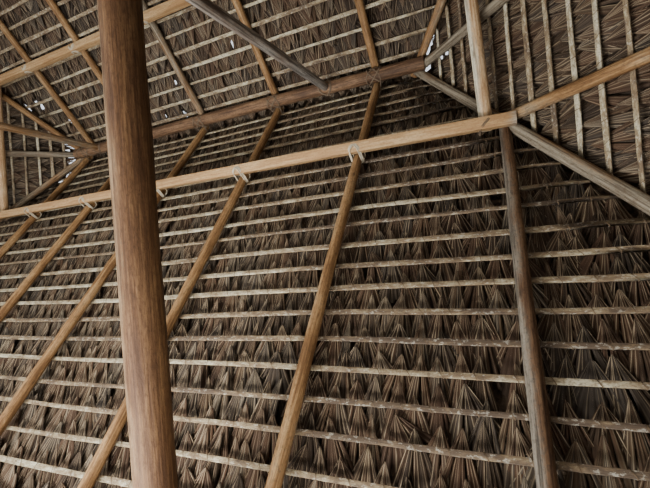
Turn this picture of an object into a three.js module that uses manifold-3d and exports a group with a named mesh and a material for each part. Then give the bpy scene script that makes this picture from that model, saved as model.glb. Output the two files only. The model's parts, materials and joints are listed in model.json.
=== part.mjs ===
// Thatched hut: an open-sided hut whose hipped palm-thatch roof stands on round poles.
// Millimetres. +X runs along the ridge, +Y to the rear, +Z up. The origin is on the ground, under the middle.

import * as THREE from 'three';
import { mergeVertices } from 'three/addons/utils/BufferGeometryUtils.js';
import { ConvexGeometry } from 'three/addons/geometries/ConvexGeometry.js';
import Module from 'manifold-3d';

const wasm = await Module();
wasm.setup();

// Fit between pieces
const SEAT_GAP = 0.3;
const NOTCH = 4;
const POLE_SIDES = 12;

// Roof shape: the rafter axes of both long slopes meet at APEX_Z over the ridge line
const APEX_Z = 5500;
const HALF_RIDGE = 2440;
const MAIN_PITCH = THREE.MathUtils.degToRad(41.4);
const END_PITCH = THREE.MathUtils.degToRad(46.5);
const EAVE_Z = 1950;

// Radii of the poles
const RAFTER_R = 40;
const HIP_R = 46;
const RIDGE_R = 67;
const KING_R = 45;
const COLLAR_R = 50;
const BEAM_R = 88;
const PLATE_R = 70;
const POST_R = 85;

// Where the rafters lie along the ridge, and the jacks of the hipped ends
const REAR_RAFTERS_X = [2050, 890, -180, -1300, -2360];
const FRONT_RAFTERS_X = [2060, 880, -180, -1300, -2220];
const MAIN_JACKS_X = { right: [3170, 4300], left: [-3460, -4500] };
const END_JACKS_Y = [850, 1950];

// Purlins, collar ties and king posts
const PURLIN_Y = 890;
const PURLIN_WIDTH = 90;
const PURLIN_HEIGHT = 80;
const PURLIN_HALF_LENGTH = 3250;
const PURLIN_NOTCH = 6;
const COLLAR_HALF_LENGTH = 915;
const COLLARS_X = { right: { rear: 3050, front: 3000 }, left: { rear: -3065, front: -3065 } };
const RIDGE_POLE_ENDS = [-2500, 2550];
const KING_RIGHT = { x: 1530, footY: 360 };
const KING_LEFT = { x: -2000, footY: 0 };
const KING_SADDLE = 20;

// Beams and posts
const END_PLATE_X = 4940;
const TIE_BEAM_X = 1735;
const BEAM_HALF_LENGTH = 3330;
const LONG_PLATE_HALF_LENGTH = 5170;
const POST_SADDLE = 35;

// Thatch: laths on its inner face, stepped rows on its outer face, a cap over the ridge.
// A rise is an upright thickness and a drop an upright distance, so that the slopes meet at the hips.
const THATCH_RISE = 220;
const LATH_WIDTH = 35;
const LATH_DEPTH = 15;
const FIRST_STEP_DROP = 345;
const STEP_DROP = 240;
const STEP_RISE = 30;
const FRINGE_DROP = 205;
const FRINGE_RISE = 85;
const END_SLAB_START = 30;
const CAP_RISE = 90;
const CAP_HALF_WIDTH = 460;
const CAP_OVERRUN = 380;

// Rows of laths, as distances down the slope from the line where the lath planes meet.
// Those measured in the photo are listed, and the others follow at an even pitch.
const LATHS = {
  rear: {
    measured: [
      143, 306, 460, 630, 786, 996, 1150, 1326, 1510, 1684, 1884,
      2050, 2250, 2436, 2610, 2792, 2968, 3142, 3320, 3482, 3662,
    ],
    pitch: 180,
  },
  front: { measured: [34, 204, 368, 536, 712, 886, 1058], pitch: 170 },
  end: { measured: [200, 360, 520, 680, 840, 1000], pitch: 160 },
};

// A size larger than the whole hut, for tools that cut away all of one side
const BEYOND = 20000;

// Worked out from the sizes above
const MAIN_TAN = Math.tan(MAIN_PITCH);
const END_TAN = Math.tan(END_PITCH);
const HIP_SPREAD = END_TAN / MAIN_TAN;
const LATH_APEX_Z = APEX_Z + (RAFTER_R + SEAT_GAP) / Math.cos(MAIN_PITCH);
const END_RAFTER_APEX_Z = LATH_APEX_Z - (RAFTER_R + SEAT_GAP) / Math.cos(END_PITCH);
const HIP_APEX_Z = LATH_APEX_Z - (HIP_R + SEAT_GAP) / Math.cos(END_PITCH);
const RIDGE_Z = APEX_Z - (RAFTER_R + RIDGE_R - NOTCH) / Math.cos(MAIN_PITCH);
const BEAM_Z = END_RAFTER_APEX_Z - (END_PLATE_X - HALF_RIDGE) * END_TAN
  - (RAFTER_R + BEAM_R - NOTCH) / Math.cos(END_PITCH);
const LONG_PLATE_Z = BEAM_Z - BEAM_R - PLATE_R + NOTCH;
const LONG_PLATE_Y = (APEX_Z - LONG_PLATE_Z - (RAFTER_R + PLATE_R - NOTCH) / Math.cos(MAIN_PITCH)) / MAIN_TAN;
const RAFTER_UNDERSIDE_Z = APEX_Z - RAFTER_R / Math.cos(MAIN_PITCH);
const PURLIN_TOP_Z = RAFTER_UNDERSIDE_Z - (PURLIN_Y + PURLIN_WIDTH / 2) * MAIN_TAN + PURLIN_NOTCH;
const COLLAR_Z = PURLIN_TOP_Z + COLLAR_R - NOTCH;

// Colours, read from the photo
function finish(color, roughness) {
  return () => new THREE.MeshStandardMaterial({ color, roughness, metalness: 0 });
}
const dryThatch = finish(0x6f5538, 0.95);
const tanPole = finish(0xa57c4e, 0.7);
const greyPole = finish(0x8d8273, 0.85);
const beamPole = finish(0x8a6540, 0.7);
const paleTimber = finish(0xc39a66, 0.75);

// Solids

function toSolid(geometry) {
  const bare = geometry.clone();
  bare.deleteAttribute('normal');
  bare.deleteAttribute('uv');
  const merged = mergeVertices(bare, 0.001);
  return new wasm.Manifold(new wasm.Mesh({
    numProp: 3,
    vertProperties: Float32Array.from(merged.attributes.position.array),
    triVerts: Uint32Array.from(merged.index.array),
  }));
}

function largestBody(solid) {
  const bodies = solid.decompose();
  return bodies.reduce((largest, body) => (body.volume() > largest.volume() ? body : largest));
}

function toGeometry(solid) {
  const mesh = solid.getMesh();
  const geometry = new THREE.BufferGeometry();
  geometry.setAttribute('position', new THREE.BufferAttribute(mesh.vertProperties, 3));
  geometry.setIndex(new THREE.BufferAttribute(mesh.triVerts, 1));
  return geometry;
}

function cutBy(solid, cutters) {
  const cut = cutters.reduce((rest, cutter) => rest.subtract(cutter), solid);
  return largestBody(cut);
}

// A round pole between two points, with one of its edges on top. Grown, it is the tool that cuts
// its own seat, SEAT_GAP wider all round, into a neighbour.
function pole(from, to, radius) {
  return { from, to, radius };
}

function poleSolid({ from, to, radius }, grow = 0) {
  const axis = to.clone().sub(from);
  const length = axis.length();
  axis.normalize();
  const side = new THREE.Vector3().crossVectors(axis, new THREE.Vector3(0, 0, 1));
  if (side.lengthSq() < 1e-6) {
    side.set(1, 0, 0);
  }
  side.normalize();
  const top = new THREE.Vector3().crossVectors(side, axis);
  const wide = radius + grow / Math.cos(Math.PI / POLE_SIDES);
  const geometry = new THREE.CylinderGeometry(wide, wide, length + 2 * grow, POLE_SIDES);
  geometry.applyMatrix4(new THREE.Matrix4().makeBasis(side, axis, top));
  const middle = from.clone().add(to).multiplyScalar(0.5);
  geometry.translate(middle.x, middle.y, middle.z);
  return toSolid(geometry);
}

function seatOf(spec) {
  return poleSolid(spec, SEAT_GAP);
}

// A standing pole that may lean: its foot and head stay level
function standingSolid(footX, footY, headX, headY, headZ, radius) {
  const geometry = new THREE.CylinderGeometry(radius, radius, headZ, POLE_SIDES);
  geometry.rotateX(Math.PI / 2);
  geometry.translate(0, 0, headZ / 2);
  const lean = new THREE.Matrix4().makeShear(0, 0, 0, 0, (headX - footX) / headZ, (headY - footY) / headZ);
  geometry.applyMatrix4(lean);
  geometry.translate(footX, footY, 0);
  return toSolid(geometry);
}

function boxSolid(width, depth, height, x, y, z) {
  const geometry = new THREE.BoxGeometry(width, depth, height);
  geometry.translate(x, y, z);
  return toSolid(geometry);
}

// Everything under the roof planes, raised by rise over the inner faces of the laths
function roofBody(rise) {
  const top = LATH_APEX_Z + rise;
  const eaveY = top / MAIN_TAN;
  const eaveX = HALF_RIDGE + top / END_TAN;
  const points = [new THREE.Vector3(-HALF_RIDGE, 0, top), new THREE.Vector3(HALF_RIDGE, 0, top)];
  for (const sx of [-1, 1]) {
    for (const sy of [-1, 1]) {
      points.push(new THREE.Vector3(sx * eaveX, sy * eaveY, 0));
    }
  }
  return toSolid(new ConvexGeometry(points));
}

// The poles, as axes

function mainRafterAxis(x, side, fromRun, toRun) {
  return pole(
    new THREE.Vector3(x, side * fromRun, APEX_Z - fromRun * MAIN_TAN),
    new THREE.Vector3(x, side * toRun, APEX_Z - toRun * MAIN_TAN),
    RAFTER_R,
  );
}

function endRafterAxis(y, end, fromRun, toRun) {
  return pole(
    new THREE.Vector3(end * (HALF_RIDGE + fromRun), y, END_RAFTER_APEX_Z - fromRun * END_TAN),
    new THREE.Vector3(end * (HALF_RIDGE + toRun), y, END_RAFTER_APEX_Z - toRun * END_TAN),
    RAFTER_R,
  );
}

function hipAxis(end, side, fromRun, toRun) {
  const at = (run) => new THREE.Vector3(
    end * (HALF_RIDGE + run),
    side * run * HIP_SPREAD,
    HIP_APEX_Z - run * END_TAN,
  );
  return pole(at(fromRun), at(toRun), HIP_R);
}

const MAIN_RUN = (LATH_APEX_Z - EAVE_Z) / MAIN_TAN;
const END_RUN = (LATH_APEX_Z - EAVE_Z) / END_TAN;
const RAFTER_START = RAFTER_R * Math.sin(MAIN_PITCH) + SEAT_GAP;

const ends = { right: 1, left: -1 };
const sides = { rear: 1, front: -1 };

const ridgePole = pole(
  new THREE.Vector3(RIDGE_POLE_ENDS[0], 0, RIDGE_Z),
  new THREE.Vector3(RIDGE_POLE_ENDS[1], 0, RIDGE_Z),
  RIDGE_R,
);

function longPlateAxis(side) {
  return pole(
    new THREE.Vector3(-LONG_PLATE_HALF_LENGTH, side * LONG_PLATE_Y, LONG_PLATE_Z),
    new THREE.Vector3(LONG_PLATE_HALF_LENGTH, side * LONG_PLATE_Y, LONG_PLATE_Z),
    PLATE_R,
  );
}

function crossBeamAxis(x) {
  return pole(
    new THREE.Vector3(x, -BEAM_HALF_LENGTH, BEAM_Z),
    new THREE.Vector3(x, BEAM_HALF_LENGTH, BEAM_Z),
    BEAM_R,
  );
}

function purlinSolid(side, grow = 0) {
  return boxSolid(
    2 * (PURLIN_HALF_LENGTH + grow),
    PURLIN_WIDTH + 2 * grow,
    PURLIN_HEIGHT + 2 * grow,
    0,
    side * PURLIN_Y,
    PURLIN_TOP_Z - PURLIN_HEIGHT / 2,
  );
}

// The group

const hut = new THREE.Group();

function add(name, solid, material, anchor = new THREE.Vector3()) {
  const geometry = toGeometry(solid);
  geometry.translate(-anchor.x, -anchor.y, -anchor.z);
  const mesh = new THREE.Mesh(geometry, material());
  mesh.name = name;
  mesh.position.copy(anchor);
  hut.add(mesh);
  return mesh;
}

function addRidgeAndKings() {
  add('ridge_pole', poleSolid(ridgePole), greyPole, ridgePole.from);
  const headZ = RIDGE_Z - RIDGE_R + KING_SADDLE;
  for (const [name, king] of [['king_post_right', KING_RIGHT], ['king_post_left', KING_LEFT]]) {
    const solid = standingSolid(king.x, king.footY, king.x, 0, headZ, KING_R);
    add(name, cutBy(solid, [seatOf(ridgePole)]), greyPole, new THREE.Vector3(king.x, king.footY, 0));
  }
}

// Posts carry the long plates, and the cross beams lie over the plates with their ends cut to the
// slope of the roof. A post in the middle of each end carries the end plate.
function addPlatesAndPosts() {
  const crossBeams = {
    tie_beam_right: TIE_BEAM_X,
    tie_beam_left: -TIE_BEAM_X,
    end_plate_right: END_PLATE_X,
    end_plate_left: -END_PLATE_X,
  };
  const underRoof = roofBody(-2 * SEAT_GAP);
  const plateSeats = [];
  for (const [name, side] of Object.entries(sides)) {
    const axis = longPlateAxis(side);
    const solid = poleSolid(axis).intersect(underRoof);
    add(`long_plate_${name}`, solid, tanPole, new THREE.Vector3(0, side * LONG_PLATE_Y, LONG_PLATE_Z));
    plateSeats.push(seatOf(axis));
  }
  for (const [name, x] of Object.entries(crossBeams)) {
    const axis = crossBeamAxis(x);
    const solid = cutBy(poleSolid(axis), plateSeats).intersect(underRoof);
    add(name, solid, beamPole, axis.from);
  }
  const plateHeadZ = LONG_PLATE_Z - PLATE_R + POST_SADDLE;
  const beamHeadZ = BEAM_Z - BEAM_R + POST_SADDLE;
  const endPlateSeats = Object.values(ends).map((end) => seatOf(crossBeamAxis(end * END_PLATE_X)));
  const carriers = [...plateSeats, ...endPlateSeats];
  const feet = {
    corner_post_rear_right: [END_PLATE_X, LONG_PLATE_Y],
    corner_post_rear_left: [-END_PLATE_X, LONG_PLATE_Y],
    corner_post_front_right: [END_PLATE_X, -LONG_PLATE_Y],
    corner_post_front_left: [-END_PLATE_X, -LONG_PLATE_Y],
    side_post_rear_right: [TIE_BEAM_X, LONG_PLATE_Y],
    side_post_rear_left: [-TIE_BEAM_X, LONG_PLATE_Y],
    side_post_front_right: [TIE_BEAM_X, -LONG_PLATE_Y],
    side_post_front_left: [-TIE_BEAM_X, -LONG_PLATE_Y],
    end_post_right: [END_PLATE_X, 0],
    end_post_left: [-END_PLATE_X, 0],
  };
  for (const [name, [x, y]] of Object.entries(feet)) {
    const solid = standingSolid(x, y, x, y, y === 0 ? beamHeadZ : plateHeadZ, POST_R);
    add(name, cutBy(solid, carriers), greyPole, new THREE.Vector3(x, y, 0));
  }
}

function addPurlinsAndCollars() {
  for (const [name, side] of Object.entries(sides)) {
    add(`purlin_${name}`, purlinSolid(side), paleTimber);
  }
  const purlinSeats = Object.values(sides).map((side) => purlinSolid(side, SEAT_GAP));
  for (const [name, x] of Object.entries(COLLARS_X)) {
    const axis = pole(
      new THREE.Vector3(x.front, -COLLAR_HALF_LENGTH, COLLAR_Z),
      new THREE.Vector3(x.rear, COLLAR_HALF_LENGTH, COLLAR_Z),
      COLLAR_R,
    );
    add(`collar_tie_${name}`, cutBy(poleSolid(axis), purlinSeats), paleTimber, axis.from);
  }
}

// Every rafter is seated on the ridge pole, the purlins and the plates that it crosses
const carrierSeats = [
  seatOf(ridgePole),
  ...Object.values(sides).map((side) => purlinSolid(side, SEAT_GAP)),
  ...Object.values(sides).map((side) => seatOf(longPlateAxis(side))),
  ...Object.values(ends).map((end) => seatOf(crossBeamAxis(end * END_PLATE_X))),
];
const hipSeats = [];

function addHips() {
  for (const [endName, end] of Object.entries(ends)) {
    for (const [sideName, side] of Object.entries(sides)) {
      const axis = hipAxis(end, side, -2 * HIP_R, END_RUN);
      const otherHalf = boxSolid(BEYOND, BEYOND, BEYOND, 0, side * (SEAT_GAP - BEYOND) / 2, 0);
      const solid = cutBy(poleSolid(axis), [...carrierSeats, otherHalf]);
      add(`hip_rafter_${sideName}_${endName}`, solid, tanPole, axis.from);
      hipSeats.push(seatOf(axis));
    }
  }
}

function addCommonRafters() {
  const rows = { rear: REAR_RAFTERS_X, front: FRONT_RAFTERS_X };
  for (const [sideName, places] of Object.entries(rows)) {
    places.forEach((x, index) => {
      const axis = mainRafterAxis(x, sides[sideName], RAFTER_START, MAIN_RUN);
      const solid = cutBy(poleSolid(axis), [...carrierSeats, ...hipSeats]);
      add(`${sideName}_rafter_${index + 1}`, solid, tanPole, axis.from);
    });
  }
}

function addJacks() {
  for (const [endName, end] of Object.entries(ends)) {
    const mainSeats = [];
    for (const [sideName, side] of Object.entries(sides)) {
      MAIN_JACKS_X[endName].forEach((x, index) => {
        const run = (Math.abs(x) - HALF_RIDGE) * HIP_SPREAD;
        const axis = mainRafterAxis(x, side, run, MAIN_RUN);
        const solid = cutBy(poleSolid(axis), [...carrierSeats, ...hipSeats]);
        add(`${sideName}_jack_${endName}_${index + 1}`, solid, tanPole, axis.from);
        mainSeats.push(seatOf(axis));
      });
    }
    const middle = endRafterAxis(0, end, 0, END_RUN);
    const seated = cutBy(poleSolid(middle), [...carrierSeats, ...hipSeats]);
    add(`end_rafter_${endName}`, seated, tanPole, middle.from);
    for (const [sideName, side] of Object.entries(sides)) {
      END_JACKS_Y.forEach((y, index) => {
        const axis = endRafterAxis(side * y, end, y / HIP_SPREAD, END_RUN);
        const solid = cutBy(poleSolid(axis), [...carrierSeats, ...hipSeats, ...mainSeats]);
        add(`end_jack_${endName}_${sideName}_${index + 1}`, solid, tanPole, axis.from);
      });
    }
  }
}

function lathRows({ measured, pitch }, length) {
  const rows = [...measured];
  for (let s = rows.at(-1) + pitch; s < length; s += pitch) {
    rows.push(s);
  }
  return rows;
}

// The section of one slope of thatch. u runs out from the ridge line, v is the height; s runs down
// the slope and h stands square to it, both from the meeting line of the lath planes.
function thatchSection(pitch, offset, start, laths, length) {
  const cos = Math.cos(pitch);
  const sin = Math.sin(pitch);
  const outer = THATCH_RISE * cos;
  const butt = (THATCH_RISE + STEP_RISE) * cos;
  const tip = length + FRINGE_DROP / sin;
  const at = (s, h) => new THREE.Vector2(offset + s * cos + h * sin, LATH_APEX_Z - s * sin + h * cos);
  const topAt = (h) => new THREE.Vector2(
    offset + start,
    LATH_APEX_Z + h / cos - start * Math.tan(pitch),
  );
  const points = [topAt(LATH_DEPTH)];
  for (const s of laths) {
    points.push(at(s - LATH_WIDTH / 2, LATH_DEPTH));
    points.push(at(s - LATH_WIDTH / 2, 0));
    points.push(at(s + LATH_WIDTH / 2, 0));
    points.push(at(s + LATH_WIDTH / 2, LATH_DEPTH));
  }
  points.push(at(tip, LATH_DEPTH));
  points.push(at(tip, LATH_DEPTH + FRINGE_RISE * cos));
  const butts = [];
  for (let s = (FIRST_STEP_DROP + STEP_DROP) / sin; s < length; s += STEP_DROP / sin) {
    butts.push(s);
  }
  for (const s of butts.reverse()) {
    points.push(at(s, outer));
    points.push(at(s, butt));
  }
  points.push(at(FIRST_STEP_DROP / sin, outer));
  points.push(topAt(outer));
  return new THREE.Shape(points);
}

// Extrudes a section to both sides, each end cut back to the upright plane over the hip
function mitredSlab(section, halfLengthAt) {
  const geometry = new THREE.ExtrudeGeometry(section, { depth: 1, bevelEnabled: false });
  const position = geometry.attributes.position;
  for (let i = 0; i < position.count; i += 1) {
    const u = position.getX(i);
    const v = position.getY(i);
    const along = position.getZ(i) > 0.5 ? 1 : -1;
    position.setXYZ(i, along * halfLengthAt(u), u, v);
  }
  return toSolid(geometry);
}

function addThatch() {
  const main = {
    pitch: MAIN_PITCH,
    offset: 0,
    start: SEAT_GAP,
    length: MAIN_RUN / Math.cos(MAIN_PITCH),
    halfAt: (u) => HALF_RIDGE + u / HIP_SPREAD - SEAT_GAP,
  };
  const end = {
    pitch: END_PITCH,
    offset: HALF_RIDGE,
    start: END_SLAB_START,
    length: END_RUN / Math.cos(END_PITCH),
    halfAt: (u) => (u - HALF_RIDGE) * HIP_SPREAD - SEAT_GAP,
  };
  const slopes = {
    thatch_rear: { ...main, laths: LATHS.rear, turn: 0 },
    thatch_front: { ...main, laths: LATHS.front, turn: Math.PI },
    thatch_right_end: { ...end, laths: LATHS.end, turn: -Math.PI / 2 },
    thatch_left_end: { ...end, laths: LATHS.end, turn: Math.PI / 2 },
  };
  for (const [name, { pitch, offset, start, length, halfAt, laths, turn }] of Object.entries(slopes)) {
    const section = thatchSection(pitch, offset, start, lathRows(laths, length), length);
    const mesh = add(name, mitredSlab(section, halfAt), dryThatch);
    mesh.rotation.z = turn;
  }
}

function addRidgeCap() {
  const zone = boxSolid(2 * (HALF_RIDGE + CAP_OVERRUN), 2 * CAP_HALF_WIDTH, 4000, 0, 0, APEX_Z);
  const over = roofBody(THATCH_RISE + CAP_RISE);
  const under = roofBody(THATCH_RISE + 2 * SEAT_GAP);
  add('ridge_cap', over.subtract(under).intersect(zone), dryThatch);
}

addRidgeAndKings();
addPlatesAndPosts();
addPurlinsAndCollars();
addHips();
addCommonRafters();
addJacks();
addThatch();
addRidgeCap();

export default hut;
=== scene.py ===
# %% [markdown]
# # Thatched hut
# An open-sided hut under a hipped roof of folded palm leaves. Round poles stand in the ground plane,
# beams lie on them, rafters lean over a ridge pole, laths run across the rafters, and rows of leaves
# hang on the laths. We look up into this roof, so its inside is where most of the work goes.
# The solids come packed, as a frame in metres, and every piece here takes its place from them.

import json
import math

import bpy
import numpy as np
from mathutils import Matrix, Vector

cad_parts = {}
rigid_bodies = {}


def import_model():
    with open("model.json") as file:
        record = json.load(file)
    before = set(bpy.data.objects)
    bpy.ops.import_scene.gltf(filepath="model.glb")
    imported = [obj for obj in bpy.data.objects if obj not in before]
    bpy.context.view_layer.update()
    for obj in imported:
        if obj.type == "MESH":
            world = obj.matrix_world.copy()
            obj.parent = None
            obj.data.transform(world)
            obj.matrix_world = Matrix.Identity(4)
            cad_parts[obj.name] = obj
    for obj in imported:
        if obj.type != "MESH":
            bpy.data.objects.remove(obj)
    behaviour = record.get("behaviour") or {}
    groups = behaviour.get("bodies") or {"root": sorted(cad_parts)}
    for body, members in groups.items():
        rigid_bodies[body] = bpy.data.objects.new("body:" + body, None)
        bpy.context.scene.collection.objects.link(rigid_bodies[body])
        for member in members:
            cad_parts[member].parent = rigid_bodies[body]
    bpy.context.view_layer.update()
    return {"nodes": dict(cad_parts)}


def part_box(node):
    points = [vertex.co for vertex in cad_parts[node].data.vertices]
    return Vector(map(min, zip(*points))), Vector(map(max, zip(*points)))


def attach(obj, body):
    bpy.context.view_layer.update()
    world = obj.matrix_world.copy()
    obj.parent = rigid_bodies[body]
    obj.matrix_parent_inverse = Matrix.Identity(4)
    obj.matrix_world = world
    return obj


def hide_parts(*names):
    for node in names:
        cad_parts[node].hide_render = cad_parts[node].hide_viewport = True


SEED = 7

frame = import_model()
random = np.random.default_rng(SEED)

# %% [markdown]
# ## The planes of the roof
# All four slopes touch the tops of their poles, so one set of numbers places laths, leaves and core.
# A point on a slope is told by three numbers: how far along the eave, how far down the slope, and how
# far out of it. A small class turns these into world places, and we never have to think of the
# pitch again.

# %% The class for a slope
MAIN_PITCH = math.radians(41.4)
END_PITCH = math.radians(46.5)
HALF_RIDGE = 2.44
LATH_APEX_Z = 5.5537
EAVE_Z = 1.95
HIP_SPREAD = math.tan(END_PITCH) / math.tan(MAIN_PITCH)
UP = np.array((0.0, 0.0, 1.0))


class Slope:
    """One slope of the roof: a runs along the eave, s down the slope, h out of it."""

    def __init__(self, name, pitch, offset, out, laths):
        self.name = name
        self.pitch = pitch
        self.offset = offset
        self.out = np.array(out, float)
        self.along = np.cross(self.out, UP)
        self.down = self.out * math.cos(pitch) - UP * math.sin(pitch)
        self.normal = self.out * math.sin(pitch) + UP * math.cos(pitch)
        self.length = (LATH_APEX_Z - EAVE_Z) / math.sin(pitch)
        self.laths = laths
        self.axes = np.stack((self.along, self.down, self.normal), axis=1)

    def place(self, a, s, h):
        """World places of points on the slope."""
        start = self.out * self.offset + UP * LATH_APEX_Z
        a, s, h = np.broadcast_arrays(a, s, h)
        return start + a[..., None] * self.along + s[..., None] * self.down + h[..., None] * self.normal

    def half(self, s, h=0.0):
        """Half the length of a row, from the middle of the slope to its hip."""
        out = s * math.cos(self.pitch) + h * math.sin(self.pitch)
        if self.offset:
            return np.maximum(out * HIP_SPREAD, 0.0)
        return HALF_RIDGE + out / HIP_SPREAD


print("the hips spread", round(HIP_SPREAD, 3), "to the side for one outwards")

# %% The four slopes and their laths
REAR_ROWS = (
    0.143, 0.306, 0.460, 0.630, 0.786, 0.996, 1.150, 1.326, 1.510, 1.684, 1.884,
    2.050, 2.250, 2.436, 2.610, 2.792, 2.968, 3.142, 3.320, 3.482, 3.662,
)
FRONT_ROWS = (0.034, 0.204, 0.368, 0.536, 0.712, 0.886, 1.058)
END_ROWS = (0.2, 0.36, 0.52, 0.68, 0.84, 1.0)
SLOPE_PLAN = (
    ("rear", MAIN_PITCH, 0.0, (0, 1, 0), REAR_ROWS, 0.18),
    ("front", MAIN_PITCH, 0.0, (0, -1, 0), FRONT_ROWS, 0.17),
    ("right_end", END_PITCH, HALF_RIDGE, (1, 0, 0), END_ROWS, 0.16),
    ("left_end", END_PITCH, HALF_RIDGE, (-1, 0, 0), END_ROWS, 0.16),
)
DRIFT_AT = (-6.0, -1.75, -0.6, 0.1, 0.53, 1.2, 1.65, 2.4, 2.8, 6.0)
DRIFT = (0.028, 0.028, 0.03, 0.025, 0.018, 0.0, -0.008, -0.014, -0.010, -0.010)


def lath_rows(measured, spacing, pitch):
    """Distances of the laths down a slope: those seen in the picture, then an even spacing."""
    end = (LATH_APEX_Z - EAVE_Z) / math.sin(pitch)
    return np.concatenate((measured, np.arange(measured[-1] + spacing, end, spacing)))


def row_drift(slope, a):
    """The rear rows run a little lower towards the left end, as they do in the picture."""
    return np.interp(a, DRIFT_AT, DRIFT) if slope.name == "rear" else np.zeros_like(a)


SLOPES = {
    name: Slope(name, pitch, offset, out, lath_rows(rows, spacing, pitch))
    for name, pitch, offset, out, rows, spacing in SLOPE_PLAN
}
for slope in SLOPES.values():
    print(slope.name, "laths", len(slope.laths), "length", round(slope.length, 2))

# %% [markdown]
# ## Camera
# The picture was taken from under the roof, looking up and a little towards the left end. The
# directions were worked out from the lines of the ridge, rafters and laths in the picture, so
# they are written down as two directions rather than as angles.

# %% Camera
EYE = Vector((3.10, 1.713, 1.5))
LOOK = Vector((-0.40951, -0.0186, 0.91211)).normalized()
PICTURE_DOWN = Vector((-0.07969, 0.99670, -0.01545))
PICTURE_SIZE = (650, 488)
LENS_MM = 22.04
SENSOR_MM = 36.0
FARTHEST_SEEN = 200.0

camera_data = bpy.data.cameras.new("camera")
camera_data.lens = LENS_MM
camera_data.sensor_width = SENSOR_MM
camera_data.clip_end = FARTHEST_SEEN
camera = bpy.data.objects.new("camera", camera_data)
bpy.context.scene.collection.objects.link(camera)
picture_right = PICTURE_DOWN.cross(LOOK).normalized()
picture_up = picture_right.cross(LOOK).normalized()
turn = Matrix((picture_right, picture_up, -LOOK)).transposed()
camera.matrix_world = Matrix.Translation(EYE) @ turn.to_4x4()
bpy.context.scene.camera = camera
print("camera right", picture_right)

# %% [markdown]
# ## Studio
# A pale floor and soft lights. Under a deep roof most of the light comes in low, between the posts,
# so the largest light stands at the left, near the floor, and points up into the rafters. The sky
# itself gives little light, but where the camera sees it, through a gap, it is drawn nearly white.

# %% Floor
FLOOR_SIZE = 60.0
FLOOR_Z = -0.001

bpy.ops.object.select_all(action="DESELECT")
bpy.ops.mesh.primitive_plane_add(size=FLOOR_SIZE, location=(0, 0, FLOOR_Z))
floor = bpy.context.object
floor.name = "studio_floor"
floor_finish = bpy.data.materials.new("pale_floor")
floor_finish.use_nodes = True
floor_shader = floor_finish.node_tree.nodes["Principled BSDF"]
floor_shader.inputs["Base Color"].default_value = (0.62, 0.60, 0.57, 1)
floor_shader.inputs["Roughness"].default_value = 0.9
floor.data.materials.append(floor_finish)
print("floor", FLOOR_SIZE, "m wide")

# %% Lights
NEUTRAL = (0.96, 0.96, 0.93)
WARM = (0.98, 0.96, 0.91)
COOL = (0.97, 0.98, 1.0)
BLUE = (0.93, 0.96, 1.0)
SUNNY = (1.0, 0.98, 0.95)
# name, place, what it points at, size, watts, colour, spread in degrees
LIGHTS = (
    ("low_left", (-0.8, 0.7, 0.4), (0.2, 2.7, 3.0), (2.2, 1.0), 120, NEUTRAL, 180),
    ("low_beam", (1.2, 3.5, 0.7), (1.62, 2.75, 2.6), (0.9, 0.5), 17, WARM, 70),
    ("low_right", (3.6, 3.5, 0.5), (1.75, 2.5, 2.6), (0.9, 0.5), 9, WARM, 50),
    ("low_far", (-4.3, 0.2, 0.4), (-3.8, 0.0, 4.0), (1.6, 1.6), 40, COOL, 110),
    ("low_front", (2.0, -3.6, 0.4), (1.5, 2.0, 4.0), (4.0, 0.8), 14, BLUE, 180),
    ("low_rear", (0.7, 3.6, 0.3), (2.0, -1.2, 4.8), (4.0, 0.8), 350, COOL, 180),
    ("high_left", (-9.0, -9.0, 12.0), (0, 0, 2.5), (6.0, 6.0), 1800, SUNNY, 180),
    ("high_right", (9.0, 9.0, 12.0), (0, 0, 3.0), (6.0, 6.0), 900, SUNNY, 60),
)


def soft_light(name, place, aim, size, power, color, spread):
    """A rectangular area light that the camera doesn't see."""
    data = bpy.data.lights.new(name, "AREA")
    data.shape = "RECTANGLE"
    data.size, data.size_y = size
    data.energy = power
    data.color = color
    data.spread = math.radians(spread)
    light = bpy.data.objects.new(name, data)
    bpy.context.scene.collection.objects.link(light)
    light.location = place
    light.rotation_euler = (Vector(aim) - Vector(place)).to_track_quat("-Z", "Y").to_euler()
    light.visible_camera = False


for light in LIGHTS:
    soft_light(*light)

# %% Sky
SKY_COLOR = (0.90, 0.95, 1.02, 1)
SKY_LIGHT = 0.41
SKY_SEEN = 1.5

world = bpy.data.worlds.new("studio")
world.use_nodes = True
sky = world.node_tree
background = sky.nodes["Background"]
background.inputs["Color"].default_value = SKY_COLOR
strength = sky.nodes.new("ShaderNodeMapRange")
strength.inputs["To Min"].default_value = SKY_LIGHT
strength.inputs["To Max"].default_value = SKY_SEEN
ray = sky.nodes.new("ShaderNodeLightPath")
sky.links.new(ray.outputs["Is Camera Ray"], strength.inputs["Value"])
sky.links.new(strength.outputs["Result"], background.inputs["Strength"])
bpy.context.scene.world = world
print("sky light", SKY_LIGHT)

# %% [markdown]
# ## A few helpers for nodes
# A finish is a small network of nodes. Writing it by hand takes three lines a node, so one helper
# adds a node, sets its sockets and wires what is handed to it as a socket of another node. The
# others are the steps that every finish here takes: fade a pattern in, lay a coat of another colour
# where it shows, and give the result to the shader.

# %% Nodes and sockets


def start_finish(name):
    """An empty material with its shader, ready for a network."""
    material = bpy.data.materials.new(name)
    material.use_nodes = True
    tree = material.node_tree
    return material, tree, tree.nodes["Principled BSDF"]


def feed(tree, spot, value):
    """Wires another node's socket to this one, or sets a plain value on it."""
    if isinstance(value, bpy.types.NodeSocket):
        tree.links.new(value, spot)
    else:
        spot.default_value = (*value, 1.0) if spot.type == "RGBA" else value


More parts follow.
